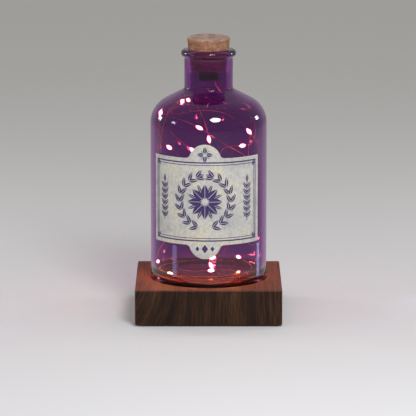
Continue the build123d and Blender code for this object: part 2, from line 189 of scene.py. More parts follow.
# %% [markdown]
# ## Colours and nodes
# Colours are written as the hex values that a paint program shows, which are sRGB. Shaders
# reckon in linear light, so one function turns them. Another adds any node, sets it up and plugs
# it in. Nodes could be joined by hand in the editor, but a script is quicker to read and change.
# Some nodes, such as Mix, carry a set of sockets for each kind of data under the same names, so
# only those in use are looked at. Sockets that share a name, as a Math node's do, are numbered.
# Object coordinates are in metres, so a pattern's Scale is one over the size of its features:
# a Scale of 1000 draws features of a millimetre.

# %% Helpers for materials


def linear(colour):
    """An sRGB hex colour as linear red, green, blue and alpha."""
    parts = [int(colour[start:start + 2], 16) / 255 for start in (1, 3, 5)]
    return [part / 12.92 if part <= 0.04045 else ((part + 0.055) / 1.055) ** 2.4 for part in parts] + [1]


def in_use(sockets, name=None):
    """The first socket in use, or the one in use that has this name."""
    return next(socket for socket in sockets if socket.enabled and name in (None, socket.name))


def plug(material, source, socket):
    """Link one output, or the first output of a node, to a socket."""
    if isinstance(source, bpy.types.Node):
        source = in_use(source.outputs)
    material.node_tree.links.new(source, socket)


def add_node(material, kind, inputs=None, stops=None, **settings):
    """Add a node with its settings, its colour stops, and a value or a link for each input."""
    node = material.node_tree.nodes.new(kind)
    for name, value in settings.items():
        setattr(node, name, value)
    for name, value in (inputs or {}).items():
        socket = node.inputs[name] if isinstance(name, int) else in_use(node.inputs, name)
        if isinstance(value, (bpy.types.Node, bpy.types.NodeSocket)):
            plug(material, value, socket)
        else:
            socket.default_value = value
    for index, (position, colour) in enumerate(stops or []):
        if index >= len(node.color_ramp.elements):
            node.color_ramp.elements.new(position)
        node.color_ramp.elements[index].position = position
        node.color_ramp.elements[index].color = linear(colour)
    return node


def shader_of(material):
    """The main shader of a material."""
    return material.node_tree.nodes["Principled BSDF"]


def new_material(name, **values):
    """A material with plain values set on its shader's own sockets."""
    material = bpy.data.materials.new(name)
    material.use_nodes = True
    for socket, value in values.items():
        shader_of(material).inputs[socket.replace("_", " ")].default_value = value
    print("new material:", name)
    return material


def drive(material, **sources):
    """Let nodes drive sockets of the shader, such as Base_Color=tone."""
    for socket, source in sources.items():
        plug(material, source, shader_of(material).inputs[socket.replace("_", " ")])


print("middle grey in linear light:", round(linear("#808080")[0], 3))

# %% [markdown]
# ## Copper wire
# The wire is two thin copper wires side by side, each 0.4 mm thick under clear enamel. One round
# tube would be quicker to make, but a slow twist of the pair gives the wire small glints that
# the tube lacks. Copper is a metal, so its colour sits in the reflection: metallic 1, with some
# roughness, because the enamel is dipped and not polished. Tarnish tints it in clouds of 17 mm.

# %% The wire's material
enamelled_copper = new_material("enamelled_copper_drawn", Metallic=1.0, Roughness=0.42)
place = add_node(enamelled_copper, "ShaderNodeTexCoord").outputs["Object"]
tarnish = add_node(enamelled_copper, "ShaderNodeTexNoise", {"Vector": place, "Scale": 60, "Detail": 3})
tone = add_node(enamelled_copper, "ShaderNodeValToRGB", {"Fac": tarnish},
                stops=[(0.35, "#E8A986"), (0.65, "#FBD3B8")])
drive(enamelled_copper, Base_Color=tone)

# %% Lay two strands along a line
strand_radius = 0.2 * mm
strand_twist = 24 * mm


def sideways(line):
    """A direction across the line at each point, carried along so that it never spins by itself."""
    across = Vector((0, 0, 1)).cross(line[1] - line[0])
    across = across if across.length > 1e-9 else Vector((1, 0, 0))
    result = []
    for index, point in enumerate(line):
        along = (line[min(index + 1, len(line) - 1)] - line[max(index - 1, 0)]).normalized()
        across = (across - along * across.dot(along)).normalized()
        result.append((point, along, across.copy()))
    return result


def strand(line, start_turn):
    """One thin wire that winds slowly round the line."""
    data = bpy.data.curves.new("strand_line", "CURVE")
    data.dimensions = "3D"
    data.bevel_depth = strand_radius
    data.bevel_resolution = 1
    data.use_fill_caps = True
    spline = data.splines.new("POLY")
    spline.points.add(len(line) - 1)
    run = 0
    last = line[0]
    for target, (point, along, across) in zip(spline.points, sideways(line)):
        run += (point - last).length
        last = point
        turn = Matrix.Rotation(start_turn + math.tau * run / strand_twist, 3, along)
        target.co = list(point + strand_radius * (turn @ across)) + [1]
    holder = bpy.data.objects.new("strand_line", data)
    mesh = bpy.data.meshes.new_from_object(holder)
    bpy.data.objects.remove(holder)
    bpy.data.curves.remove(data)
    return mesh


def paired_wire(line):
    """Both strands in one bmesh."""
    bm = bmesh.new()
    for start_turn in (0, math.pi):
        mesh = strand(line, start_turn)
        bm.from_mesh(mesh)
        bpy.data.meshes.remove(mesh)
    bmesh.ops.recalc_face_normals(bm, faces=bm.faces)
    return bm


print("turns of the pair along the string:", round(length_of(string_line) / strand_twist))

# %% [markdown]
# ## The lit beads
# Each light is a chip smaller than a grain of rice, cast in a drop of clear resin round both
# wires. A lamp at each chip would light the bottle but not show by itself, so the drop glows
# steadily and warmly, as resin does with a lit chip inside it, and the chip a little more. Wet
# resin creeps along the wires before it sets, so a drop is a sphere that is narrowed towards
# two points and stretched along the wire.

# %% Materials of a lit bead
cast_resin = new_material(
    "clear_epoxy_cast", Base_Color=linear("#FFF2DE"), Roughness=0.12, IOR=1.52,
    Emission_Color=linear("#FFD873"), Emission_Strength=210.0,
)
lit_phosphor = new_material(
    "phosphor_on_ceramic", Base_Color=linear("#F4D98A"), Roughness=0.6,
    Emission_Color=linear("#FFE38F"), Emission_Strength=250.0,
)

# %% Put a bead and its chip at even steps along the string
bead_count = 20
bead_pitch = 95 * mm
wire_length = 1811 * mm
bead_half = Vector((1.45, 1.45, 3.5)) * mm
bead_taper = 0.8
chip_size = Vector((0.35, 0.8, 1.6)) * mm
chip_offset = 0.68 * mm
chip_edge = 0.05 * mm


def places_along(line, distances):
    """A matrix at each distance along the line, its Z axis along the wire."""
    steps = sideways(line)
    run = 0
    index = 0
    found = []
    for distance in distances:
        while index < len(line) - 2 and run + (line[index + 1] - line[index]).length < distance:
            run += (line[index + 1] - line[index]).length
            index += 1
        point, along, across = steps[index]
        centre = point + along * (distance - run)
        turn = Matrix((across, along.cross(across), along)).transposed().to_4x4()
        found.append(Matrix.Translation(centre) @ turn)
    return found


shrink = length_of(string_line) / wire_length
bead_places = places_along(string_line, [number * bead_pitch * shrink for number in range(bead_count)])
beads = bmesh.new()
chips = bmesh.new()
for matrix in bead_places:
    drop = bmesh.ops.create_uvsphere(beads, u_segments=14, v_segments=12, radius=1)["verts"]
    for vert in drop:
        slimmer = max(1 - vert.co.z ** 2, 0) ** bead_taper
        vert.co = Vector((vert.co.x * slimmer, vert.co.y * slimmer, vert.co.z))
    bmesh.ops.transform(beads, matrix=matrix @ Matrix.Diagonal(bead_half.to_4d()), verts=drop)
    box = matrix @ Matrix.Translation((chip_offset, 0, 0)) @ Matrix.Diagonal(chip_size.to_4d())
    bmesh.ops.create_cube(chips, size=1, matrix=box)
bmesh.ops.bevel(chips, geom=chips.edges[:], offset=chip_edge, segments=2, profile=0.5,
                affect="EDGES", material=-1)
resin_drops = make_piece("resin_drops", beads, cast_resin, "bottle")
light_chips = make_piece("light_chips", chips, lit_phosphor, "bottle")
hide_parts("led_beads")
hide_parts("led_chips")
print("first bead at mm:", [round(value / mm, 1) for value in bead_places[0].translation])

# %% [markdown]
# ### The string and the lead
# The string rides on the bottle. The lead joins it to the battery holder, which rises with the
# cork. It could ride on either of them, but then it would part from the other, so it is left on
# no body and stays where it is.

# %% The string and the lead
string_wire = make_piece("string_pair", paired_wire(string_line), enamelled_copper, "bottle")
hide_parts("string_wire")

lead_wire = make_piece("lead_pair", paired_wire(lead_line), enamelled_copper, None)
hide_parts("lead_wire")
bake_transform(lead_wire)

# %% [markdown]
# ## The glass bottle
# The bottle is blown into a mould: an even wall, a soft shoulder, a rolled lip and a floor that
# is pushed up in the middle. A cylinder could be pushed and pulled into that shape, but every
# size is plain in a half section. It is drawn as straight lines, each corner is rounded with a
# bevel, and it is spun about the upright axis. The wall is closed, with an outside and an
# inside, because light has to enter and leave real glass to bend rightly.

# %% Sizes of the half section, in millimetres
bottle_foot = 26.2
bottle_radius = 50.0
bottle_height = 203.1
bottle_wall = 3.5
punt_radius = 41.0
punt_rise = 4.0
punt_top = 29.52
punt_round = 9
floor_thickness = 5.0
shoulder_angle = math.radians(27)
shoulder_round = 24
neck_radius = 20.85
neck_foot = bottle_height - 34.0
lip_radius = 23.6
lip_foot = bottle_height - 6.3
mouth_radius = 17.45
mouth_depth = 18
bore_radius = 15.65
shoulder_slope = math.tan(shoulder_angle)
inner_radius = bottle_radius - bottle_wall
wall_drop = bottle_wall / math.cos(shoulder_angle)
shoulder_edge = neck_foot - shoulder_slope * (bottle_radius - neck_radius)
inner_edge = neck_foot - wall_drop - shoulder_slope * (inner_radius - neck_radius)
inner_foot = neck_foot - wall_drop + shoulder_slope * (neck_radius - bore_radius)
print("shoulder edge above the foot in mm:", round(shoulder_edge, 1))

# %% Corners of the half section, each with its radius, its height and its rounding
bottle_corners = [
    (0, punt_rise, 0), (punt_top, punt_rise, punt_round), (punt_radius, 0, 3), (bottle_radius, 0, 5),
    (bottle_radius, shoulder_edge, shoulder_round), (neck_radius, neck_foot, 2.5),
    (neck_radius, lip_foot, 0.9), (lip_radius, lip_foot, 2.4), (lip_radius, bottle_height, 3.2),
    (mouth_radius, bottle_height, 0.7), (bore_radius, bottle_height - mouth_depth, 0),
    (bore_radius, inner_foot, 5), (inner_radius, inner_edge, shoulder_round - bottle_wall),
    (inner_radius, floor_thickness, 8), (punt_top, punt_rise + floor_thickness, punt_round),
    (0, punt_rise + floor_thickness, 0),
]
print("corners in the section:", len(bottle_corners))

# %% Round the corners and spin the section
arc_step = 0.8 * mm
longest_edge = 4 * mm
cut_length = 3 * mm
spin_steps = 144


def rounded_section(corners, foot):
    """A half section in a bmesh. Each corner is (radius, height, rounding) in millimetres."""
    bm = bmesh.new()
    places = [Vector((radius, 0, foot + height)) * mm for radius, height, rounding in corners]
    verts = [bm.verts.new(place) for place in places]
    for first, second in zip(verts, verts[1:]):
        bm.edges.new((first, second))
    for index in range(1, len(corners) - 1):
        rounding = corners[index][2] * mm
        if rounding:
            back = (places[index - 1] - places[index]).normalized()
            ahead = (places[index + 1] - places[index]).normalized()
            open_angle = back.angle(ahead)
            turn = math.pi - open_angle
            made = bmesh.ops.bevel(
                bm, geom=[verts[index]], offset=rounding * math.tan(turn / 2), offset_type="OFFSET",
                segments=max(4, math.ceil(turn * rounding / arc_step)), profile=0.5,
                affect="VERTICES", material=-1,
            )
            centre = places[index] + (back + ahead).normalized() * rounding / math.sin(open_angle / 2)
            for vert in made["verts"]:
                vert.co = centre + (vert.co - centre).normalized() * rounding
    for edge in [edge for edge in bm.edges if edge.calc_length() > longest_edge]:
        bmesh.ops.subdivide_edges(bm, edges=[edge], cuts=int(edge.calc_length() / cut_length))
    return bm


def spun(bm):
    """Spin a half section once round the Z axis, close it and point its faces outwards."""
    bmesh.ops.spin(bm, geom=bm.verts[:] + bm.edges[:], cent=(0, 0, 0), axis=(0, 0, 1),
                   angle=math.tau, steps=spin_steps, use_merge=True)
    bmesh.ops.remove_doubles(bm, verts=bm.verts, dist=0.001 * mm)
    bmesh.ops.recalc_face_normals(bm, faces=bm.faces)
    return bm


print("steps round the bottle:", spin_steps)

# %% [markdown]
# ### Violet glass
# Such bottles are clear glass with a transparent violet stain fired on to the wall. One wall lets
# through about a third of the red, two fifths of the blue and only a twentieth of the green, so
# two walls give a deep plum. The stain thins out at the foot, where the floor of the bottle is
# given a pale peach: lighter because the stain is thin there, and warm as painted light, the glow
# of the lights shining through the floor on to the wood. The colour could all be absorption in the
# body of the glass, but a tint in the base colour is kept by every viewer, so only a little
# absorption goes with it. Blown glass is never quite even, so a very low bump, 36 mm from wave to
# wave, lets the reflections of the lamps waver. Shadow rays pass a tinted transparent shader,
# because light that has to find its way through bent surfaces by chance would leave the wire and
# the cork inside noisy and too dark. A wall has two surfaces, so each takes the square root of the tint.

# %% The glass material
painted_glow_fades_from = 0.032
stain_is_full = 0.049
violet_glass = new_material(
    "soda_glass_blown_violet_stain", Roughness=0.0, IOR=1.5, Transmission_Weight=1.0,
)
place = add_node(violet_glass, "ShaderNodeTexCoord").outputs["Object"]
height = add_node(violet_glass, "ShaderNodeSeparateXYZ", {"Vector": place}).outputs["Z"]
stain_over_painted_glow = add_node(violet_glass, "ShaderNodeMapRange",
                   {"Value": height, "From Min": painted_glow_fades_from, "From Max": stain_is_full},
                   interpolation_type="SMOOTHSTEP")
# Below the stain the glass is a pale peach: lighter where the stain is thin, and warm as painted glow of the
# lights.
stain_and_painted_glow = add_node(violet_glass, "ShaderNodeMix",
                {"Factor": stain_over_painted_glow, "A": linear("#FACFB0"), "B": linear("#9C45A9")}, data_type="RGBA")
waves = add_node(violet_glass, "ShaderNodeTexNoise", {"Vector": place, "Scale": 28, "Detail": 1})
waver = add_node(violet_glass, "ShaderNodeBump",
                 {"Height": waves, "Strength": 0.045, "Distance": 0.6 * mm})
drive(violet_glass, Base_Color=stain_and_painted_glow, Normal=waver)
one_surface = add_node(violet_glass, "ShaderNodeGamma", {"Color": stain_and_painted_glow, "Gamma": 0.5})
tinted_shade = add_node(violet_glass, "ShaderNodeBsdfTransparent", {"Color": one_surface})
rays = add_node(violet_glass, "ShaderNodeLightPath")
lets_light_in = add_node(violet_glass, "ShaderNodeMixShader",
                         {0: rays.outputs["Is Shadow Ray"], 1: shader_of(violet_glass), 2: tinted_shade})
absorption = add_node(violet_glass, "ShaderNodeVolumeAbsorption",
                      {"Color": linear("#CC3ADF"), "Density": 20})
glass_output = violet_glass.node_tree.nodes["Material Output"]
plug(violet_glass, lets_light_in, glass_output.inputs["Surface"])
plug(violet_glass, absorption, glass_output.inputs["Volume"])

# %% The bottle itself
bottle_mesh = spun(rounded_section(bottle_corners, bottle_foot))
glass = make_piece("violet_bottle", bottle_mesh, violet_glass, "bottle", smooth_below=70)
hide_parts("glass_bottle")

# %% [markdown]
# ## The paper label
# The label is uncoated paper of a greyish cream, with two round tabs, glued round the front. It
# could be cut out of a new sheet, but its CAD solid is already the right shape, so it only needs
# the finish. Paper is rough and slightly mottled, because its fibres lie in clouds, here 18 mm
# across, and old stock is warmer in some of them. Fibres of 1 mm and flecks of 2 mm are coarser
# than real ones, so that they show.

# %% The paper's material
uncoated_paper = new_material("uncoated_paper_rolled", Roughness=0.86)
place = add_node(uncoated_paper, "ShaderNodeTexCoord").outputs["Object"]
clouds = add_node(uncoated_paper, "ShaderNodeTexNoise", {"Vector": place, "Scale": 55, "Detail": 6})
fibres = add_node(uncoated_paper, "ShaderNodeTexNoise", {"Vector": place, "Scale": 900, "Detail": 3})
paper_tone = add_node(uncoated_paper, "ShaderNodeValToRGB", {"Fac": clouds},
                      stops=[(0.3, "#AEADA8"), (0.5, "#C1BFB7"), (0.7, "#CDC6AE")])
flecks = add_node(uncoated_paper, "ShaderNodeTexNoise", {"Vector": place, "Scale": 420, "Detail": 4})
fleck_tone = add_node(uncoated_paper, "ShaderNodeValToRGB", {"Fac": flecks},
                      stops=[(0.36, "#EAE9E6"), (0.6, "#FFFFFF")])
stock = add_node(uncoated_paper, "ShaderNodeMix", {"Factor": 1.0, "A": paper_tone, "B": fleck_tone},
                 data_type="RGBA", blend_type="MULTIPLY")
fibre_bump = add_node(uncoated_paper, "ShaderNodeBump",
                      {"Height": fibres, "Strength": 0.25, "Distance": 0.05 * mm})
drive(uncoated_paper, Base_Color=stock, Normal=fibre_bump)


def finish_node(name, material):
    """Give a CAD part its material."""
    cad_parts[name].material_slots[0].material = material
    print(name, "is now", material.name)


finish_node("paper_label", uncoated_paper)

# %% [markdown]
# ## The print on the label
# The print is a plain garden ornament in dark violet ink: a rosette in a laurel wreath, a sprig
# on each side, a ruled frame, a flower in the upper tab and three lozenges in the lower one. It
# could be a pattern in the paper's nodes, but thin sheets of ink stay crisp at any distance. Each
# half of a leaf is a small grid whose rows are narrowed to a leaf's outline. All of it is laid
# out flat in millimetres, and the whole sheet is then rolled on to the bottle, which keeps every
# curve true to the glass. The ink is worn in spots of 1.4 mm, where it is a shade lighter.

# %% Ink material
screen_ink = new_material("screen_ink_printed", Roughness=0.55)
place = add_node(screen_ink, "ShaderNodeTexCoord").outputs["Object"]
wear = add_node(screen_ink, "ShaderNodeTexNoise", {"Vector": place, "Scale": 700, "Detail": 2})
ink_tone = add_node(screen_ink, "ShaderNodeValToRGB", {"Fac": wear},
                    stops=[(0.3, "#2C1A4C"), (0.75, "#412B66")])
drive(screen_ink, Base_Color=ink_tone)

# %% Shapes to print with
leaf_vein = 0.45


def ink_bar(bm, place, length, width, columns=40, rows=1, outline=None, low=-1.0):
    """A flat strip along X, centred on place. Its half width at each share of the length is
    half the width times outline. A low of 0 keeps only the upper half."""
    made = bmesh.ops.create_grid(bm, x_segments=columns, y_segments=rows, size=0.5)
    for vert in made["verts"]:
        share = vert.co.x + 0.5
        height = low + (1 - low) * (vert.co.y + 0.5)
        spread = outline(share) if outline else 1
        vert.co = place @ Vector((vert.co.x * length, height * width / 2 * spread, 0))


def leaf_outline(share):
    """The width of a leaf at each share of its length, from 0 to 1."""
    return math.sin(math.pi * share ** 0.8)


def lozenge_outline(share):
    """The same for a lozenge."""
    return 1 - abs(2 * share - 1)


def leaf(bm, place, length, width):
    """Two half leaves with a thin vein of bare paper between them, growing along X from place."""
    middle = place @ Matrix.Translation((length / 2, 0, 0))
    for flip in (1, -1):
        half = middle @ Matrix.Diagonal((1, flip, 1, 1)) @ Matrix.Translation((0, leaf_vein / 2, 0))
        ink_bar(bm, half, length, width - leaf_vein, columns=8, rows=2, outline=leaf_outline, low=0)


def at(x, y, degrees=0):
    """A place on the flat label, in millimetres, turned by an angle."""
    return Matrix.Translation((x, y, 0)) @ Matrix.Rotation(math.radians(degrees), 4, "Z")


print("bare vein of a leaf in mm:", leaf_vein)

# %% Draw the rosette and the wreath flat
ornament = bmesh.new()
for number in range(8):
    leaf(ornament, at(0, 0, 45 * number) @ at(2.6, 0), length=12.4, width=6.6)
    leaf(ornament, at(0, 0, 45 * number + 22.5) @ at(9.0, 0), length=7.0, width=2.6)
wreath_radius = 22.5
wreath_from = -74
wreath_step = 18
wreath_lean = 32
sprig_away = 38.6
sprig_lean = 38
for side in (1, -1):
    for number in range(9):
        angle = math.radians(wreath_from + wreath_step * number)
        root = (side * wreath_radius * math.cos(angle), wreath_radius * math.sin(angle))
        grow = math.degrees(angle) + 90 if side == 1 else 90 - math.degrees(angle)
        for lean in (-wreath_lean, wreath_lean):
            leaf(ornament, at(*root, grow + lean), length=8.2, width=3.2)
    leaf(ornament, at(side * 6.2, 21.6, 90 + side * 72), length=6.0, width=2.8)
    for number in range(6):
        for lean in (-sprig_lean, sprig_lean):
            leaf(ornament, at(side * sprig_away, -15 + 5 * number, 90 + lean), length=6.6, width=2.7)
    leaf(ornament, at(side * sprig_away, 15.4, 90), length=6.6, width=2.7)
    ink_bar(ornament, at(side * sprig_away, -1, 90), length=34, width=0.7, columns=20)
print("faces with the sprigs:", len(ornament.faces))

# %% Add the tabs' ornaments and the ruled frame
flower_up = 40.4
lozenge_up = -40.6
for number in range(4):
    leaf(ornament, at(0, flower_up, 90 * number) @ at(1.1, 0), length=5.6, width=3.4)
    ink_bar(ornament, at(0, flower_up, 90 * number + 45) @ at(3.4, 0), length=2.6, width=0.5, columns=2)
for x, size in ((-6.4, 3.4), (0, 5.6), (6.4, 3.4)):
    ink_bar(ornament, at(x, lozenge_up), size, size * 1.35, columns=4, rows=2, outline=lozenge_outline)
for reach_x, reach_y, thick in ((48.6, 33.6, 1.1), (46.4, 31.4, 0.55)):
    for side in (1, -1):
        ink_bar(ornament, at(0, side * reach_y), 2 * reach_x + thick, thick, columns=90)
        ink_bar(ornament, at(side * reach_x, 0, 90), 2 * reach_y - thick, thick, columns=30)
for side in (1, -1):
    for end in (1, -1):
        corner_turn = 90 - 90 * side + side * end * 42
        leaf(ornament, at(side * 44.2, end * 29.4, corner_turn), length=7.0, width=3.0)
print("faces with the frame:", len(ornament.faces))

# %% Roll the print on to the bottle
label_middle = 105.4
paper_radius = 50.3
ink_rise = 0.035
label_turn = math.radians(-3.6)
bmesh.ops.remove_doubles(ornament, verts=ornament.verts, dist=0.02)
bmesh.ops.dissolve_degenerate(ornament, dist=0.005, edges=ornament.edges)
bmesh.ops.solidify(ornament, geom=ornament.faces[:], thickness=2 * ink_rise)
lowest = min(vert.co.z for vert in ornament.verts)
for vert in ornament.verts:
    radius = paper_radius - ink_rise + (vert.co.z - lowest)
    turn = vert.co.x / paper_radius + label_turn
    vert.co = Vector((radius * math.sin(turn), -radius * math.cos(turn), label_middle + vert.co.y)) * mm
bmesh.ops.recalc_face_normals(ornament, faces=ornament.faces)
make_piece("label_print", ornament, screen_ink, "bottle")

# %% [markdown]
# ## The cork
# The stopper is cut from natural cork: a light, dry tan with fine grain, small dark pits of 2 mm
# and the flat dark pores, 4 mm wide, that run across the bark. Faces that point up are given a
# paler, greyer tone than the side. A wrapped picture would show a seam where the side meets the
# top, but a pattern in space carries on over the edge. Pits are real hollows, so the same pattern
# that darkens them also drives the bump.

# %% The cork's colour
natural_cork = new_material("natural_cork_punched", Roughness=0.85, Specular_IOR_Level=0.3)
place = add_node(natural_cork, "ShaderNodeTexCoord").outputs["Object"]
bark_place = add_node(natural_cork, "ShaderNodeMapping", {"Vector": place, "Scale": (1, 1, 2.6)})
patches = add_node(natural_cork, "ShaderNodeTexNoise",
                   {"Vector": bark_place, "Scale": 170, "Detail": 6, "Roughness": 0.68})
side_tone = add_node(natural_cork, "ShaderNodeValToRGB", {"Fac": patches},
                     stops=[(0.3, "#704B34"), (0.5, "#976D52"), (0.72, "#B68C6E")])
top_tone = add_node(natural_cork, "ShaderNodeValToRGB", {"Fac": patches},
                    stops=[(0.3, "#866959"), (0.5, "#A18374"), (0.72, "#B79D8E")])
facing = add_node(natural_cork, "ShaderNodeSeparateXYZ",
                  {"Vector": add_node(natural_cork, "ShaderNodeNewGeometry").outputs["Normal"]})
on_top = add_node(natural_cork, "ShaderNodeMapRange",
                  {"Value": facing.outputs["Z"], "From Min": 0.55, "From Max": 0.95})
body_tone = add_node(natural_cork, "ShaderNodeMix", {"Factor": on_top, "A": side_tone, "B": top_tone},
                     data_type="RGBA")

# %% The cork's pits and pores
grit = add_node(natural_cork, "ShaderNodeTexNoise",
                {"Vector": bark_place, "Scale": 520, "Detail": 3, "Roughness": 0.7})
pits = add_node(natural_cork, "ShaderNodeMapRange", {"Value": grit, "From Min": 0.54, "From Max": 0.62})
flat_place = add_node(natural_cork, "ShaderNodeMapping", {"Vector": place, "Scale": (1, 1, 3.2)})
pores = add_node(natural_cork, "ShaderNodeTexVoronoi",
                 {"Vector": flat_place, "Scale": 270, "Randomness": 1.0})
uneven = add_node(natural_cork, "ShaderNodeMath", {0: patches, 1: 0.9, 2: pores}, operation="MULTIPLY_ADD")
pore_mask = add_node(natural_cork, "ShaderNodeMapRange",
                     {"Value": uneven, "From Min": 0.72, "From Max": 0.56, "To Min": 0.0, "To Max": 1.0})
dark = add_node(natural_cork, "ShaderNodeMath", {0: pits, 1: pore_mask}, operation="MAXIMUM")
dark_share = add_node(natural_cork, "ShaderNodeMath", {0: dark, 1: 0.7}, operation="MULTIPLY")
cork_tone = add_node(natural_cork, "ShaderNodeMix",
                     {"Factor": dark_share, "A": body_tone, "B": linear("#5C3A28")}, data_type="RGBA")
hollow = add_node(natural_cork, "ShaderNodeMath", {0: patches, 1: dark}, operation="SUBTRACT")
cork_bump = add_node(natural_cork, "ShaderNodeBump",
                     {"Height": hollow, "Strength": 0.55, "Distance": 0.25 * mm})
drive(natural_cork, Base_Color=cork_tone, Normal=cork_bump)
finish_node("cork_stopper", natural_cork)

# %% [markdown]
# ## The walnut block
# The block is solid walnut with its grain running from front to back, so the front shows end
# grain: fine upright lines, leaning over at the left where the growth rings curve. The front and
# back are much darker than the top, partly because cut fibres drink the oil and partly as painted
# shade, for the front stands in shadow. The top shows the same fibres lengthwise and paler.
# Pictures of wood would have to be cut to fit each side. One solid pattern does for all of them:
# bands 1.6 mm wide across the block that hardly change along the grain, over broad ones of 17 mm.
# The pores are drawn 1.3 mm apart, coarser than real ones, so that they show.

# %% Walnut: the growth lines
left_side = -62.5 * mm
straight_from = -12 * mm
most_lean = 0.5
lean_centre = 31 * mm
wander_reach = 7 * mm
change_along = 0.018
change_up = 0.05
oiled_walnut = new_material("walnut_sanded_and_oiled", IOR=1.47, Specular_IOR_Level=0.2)
place = add_node(oiled_walnut, "ShaderNodeTexCoord").outputs["Object"]
axes = add_node(oiled_walnut, "ShaderNodeSeparateXYZ", {"Vector": place})
lean = add_node(oiled_walnut, "ShaderNodeMapRange",
                {"Value": axes.outputs["X"], "From Min": left_side, "From Max": straight_from,
                 "To Min": most_lean, "To Max": 0.0})
above = add_node(oiled_walnut, "ShaderNodeMath", {0: axes.outputs["Z"], 1: lean_centre},
                 operation="SUBTRACT")
leaning = add_node(oiled_walnut, "ShaderNodeMath", {0: lean, 1: above}, operation="MULTIPLY")
straight = add_node(oiled_walnut, "ShaderNodeMath", {0: axes.outputs["X"], 1: leaning},
                    operation="SUBTRACT")
wander = add_node(oiled_walnut, "ShaderNodeTexNoise", {"Vector": place, "Scale": 16, "Detail": 2})
drift = add_node(oiled_walnut, "ShaderNodeMath", {0: wander, 1: wander_reach}, operation="MULTIPLY")
ring = add_node(oiled_walnut, "ShaderNodeMath", {0: straight, 1: drift}, operation="ADD")
along_grain = add_node(oiled_walnut, "ShaderNodeMath", {0: axes.outputs["Y"], 1: change_along},
                       operation="MULTIPLY")
up_grain = add_node(oiled_walnut, "ShaderNodeMath", {0: axes.outputs["Z"], 1: change_up},
                    operation="MULTIPLY")
grain_place = add_node(oiled_walnut, "ShaderNodeCombineXYZ", {"X": ring, "Y": along_grain, "Z": up_grain})
bands = add_node(oiled_walnut, "ShaderNodeTexNoise",
                 {"Vector": grain_place, "Scale": 640, "Detail": 5, "Roughness": 0.78})
broad = add_node(oiled_walnut, "ShaderNodeTexNoise", {"Vector": grain_place, "Scale": 60, "Detail": 2})

# %% Walnut: pores and colour
pore_place = add_node(oiled_walnut, "ShaderNodeMapping", {"Vector": place, "Scale": (1, 0.04, 0.7)})
vessels = add_node(oiled_walnut, "ShaderNodeTexVoronoi",
                   {"Vector": pore_place, "Scale": 750, "Randomness": 1.0})
vessel_mask = add_node(oiled_walnut, "ShaderNodeMapRange",
                       {"Value": vessels, "From Min": 0.34, "From Max": 0.16, "To Min": 0.0, "To Max": 0.7})
mixed_bands = add_node(oiled_walnut, "ShaderNodeMix", {"Factor": 0.35, "A": bands, "B": broad},
                       data_type="FLOAT")
# Faces towards the front and back take this much darker tone, partly end grain and partly painted shade.
end_grain_shade_tone = add_node(oiled_walnut, "ShaderNodeValToRGB", {"Fac": mixed_bands},
                    stops=[(0.38, "#170B05"), (0.5, "#29170C"), (0.62, "#482E19")])
long_tone = add_node(oiled_walnut, "ShaderNodeValToRGB", {"Fac": mixed_bands},
                     stops=[(0.36, "#48251A"), (0.5, "#633729"), (0.64, "#7C4A38")])
facing = add_node(oiled_walnut, "ShaderNodeSeparateXYZ",
                  {"Vector": add_node(oiled_walnut, "ShaderNodeNewGeometry").outputs["Normal"]})
frontness = add_node(oiled_walnut, "ShaderNodeMath", {0: facing.outputs["Y"]}, operation="ABSOLUTE")
end_face_shaded = add_node(oiled_walnut, "ShaderNodeMapRange", {"Value": frontness, "From Min": 0.5, "From Max": 0.9})
cut_and_shade_tone = add_node(oiled_walnut, "ShaderNodeMix", {"Factor": end_face_shaded, "A": long_tone, "B": end_grain_shade_tone},
                    data_type="RGBA")
wood_tone = add_node(oiled_walnut, "ShaderNodeMix",
                     {"Factor": vessel_mask, "A": cut_and_shade_tone, "B": linear("#25170F")}, data_type="RGBA")
gloss = add_node(oiled_walnut, "ShaderNodeMapRange", {"Value": mixed_bands, "To Min": 0.56, "To Max": 0.72})
relief = add_node(oiled_walnut, "ShaderNodeMath", {0: mixed_bands, 1: vessel_mask}, operation="SUBTRACT")
wood_bump = add_node(oiled_walnut, "ShaderNodeBump",
                     {"Height": relief, "Strength": 0.3, "Distance": 0.12 * mm})
drive(oiled_walnut, Base_Color=wood_tone, Roughness=gloss, Normal=wood_bump)
finish_node("wood_base", oiled_walnut)

# %% [markdown]
# ## Felt pads
# Felt is wool pressed into a mat. Thousands of hairs would be too much for pads that hardly
# show. The sheen scatters light at the edge as hairs do, and a pattern makes the mat uneven in
# tone and height, at 0.7 mm, which is coarser than wool.

# %% The felt's material
pressed_felt = new_material("wool_felt_pressed", Roughness=0.95, Sheen_Weight=0.35)
place = add_node(pressed_felt, "ShaderNodeTexCoord").outputs["Object"]
wool = add_node(pressed_felt, "ShaderNodeTexNoise", {"Vector": place, "Scale": 1400, "Detail": 4})
wool_tone = add_node(pressed_felt, "ShaderNodeValToRGB", {"Fac": wool},
                     stops=[(0.35, "#221D1B"), (0.7, "#3D3632")])
wool_bump = add_node(pressed_felt, "ShaderNodeBump", {"Height": wool, "Strength": 0.6, "Distance": 0.2 * mm})
drive(pressed_felt, Base_Color=wool_tone, Normal=wool_bump)
finish_node("felt_pads", pressed_felt)

# %% [markdown]
# ## The battery holder
# The sleeve, the tray and the end cover are injection-moulded ABS in black. A mould that is
# spark-eroded leaves a fine satin texture, 0.2 mm from bump to bump, which breaks up the shine.
# One roughness all over would be simpler, but no plastic is so even, so smears of 4 mm vary it.
# The grommet is softer EPDM rubber, duller than the plastic, with a bloom in spots of 1 mm.

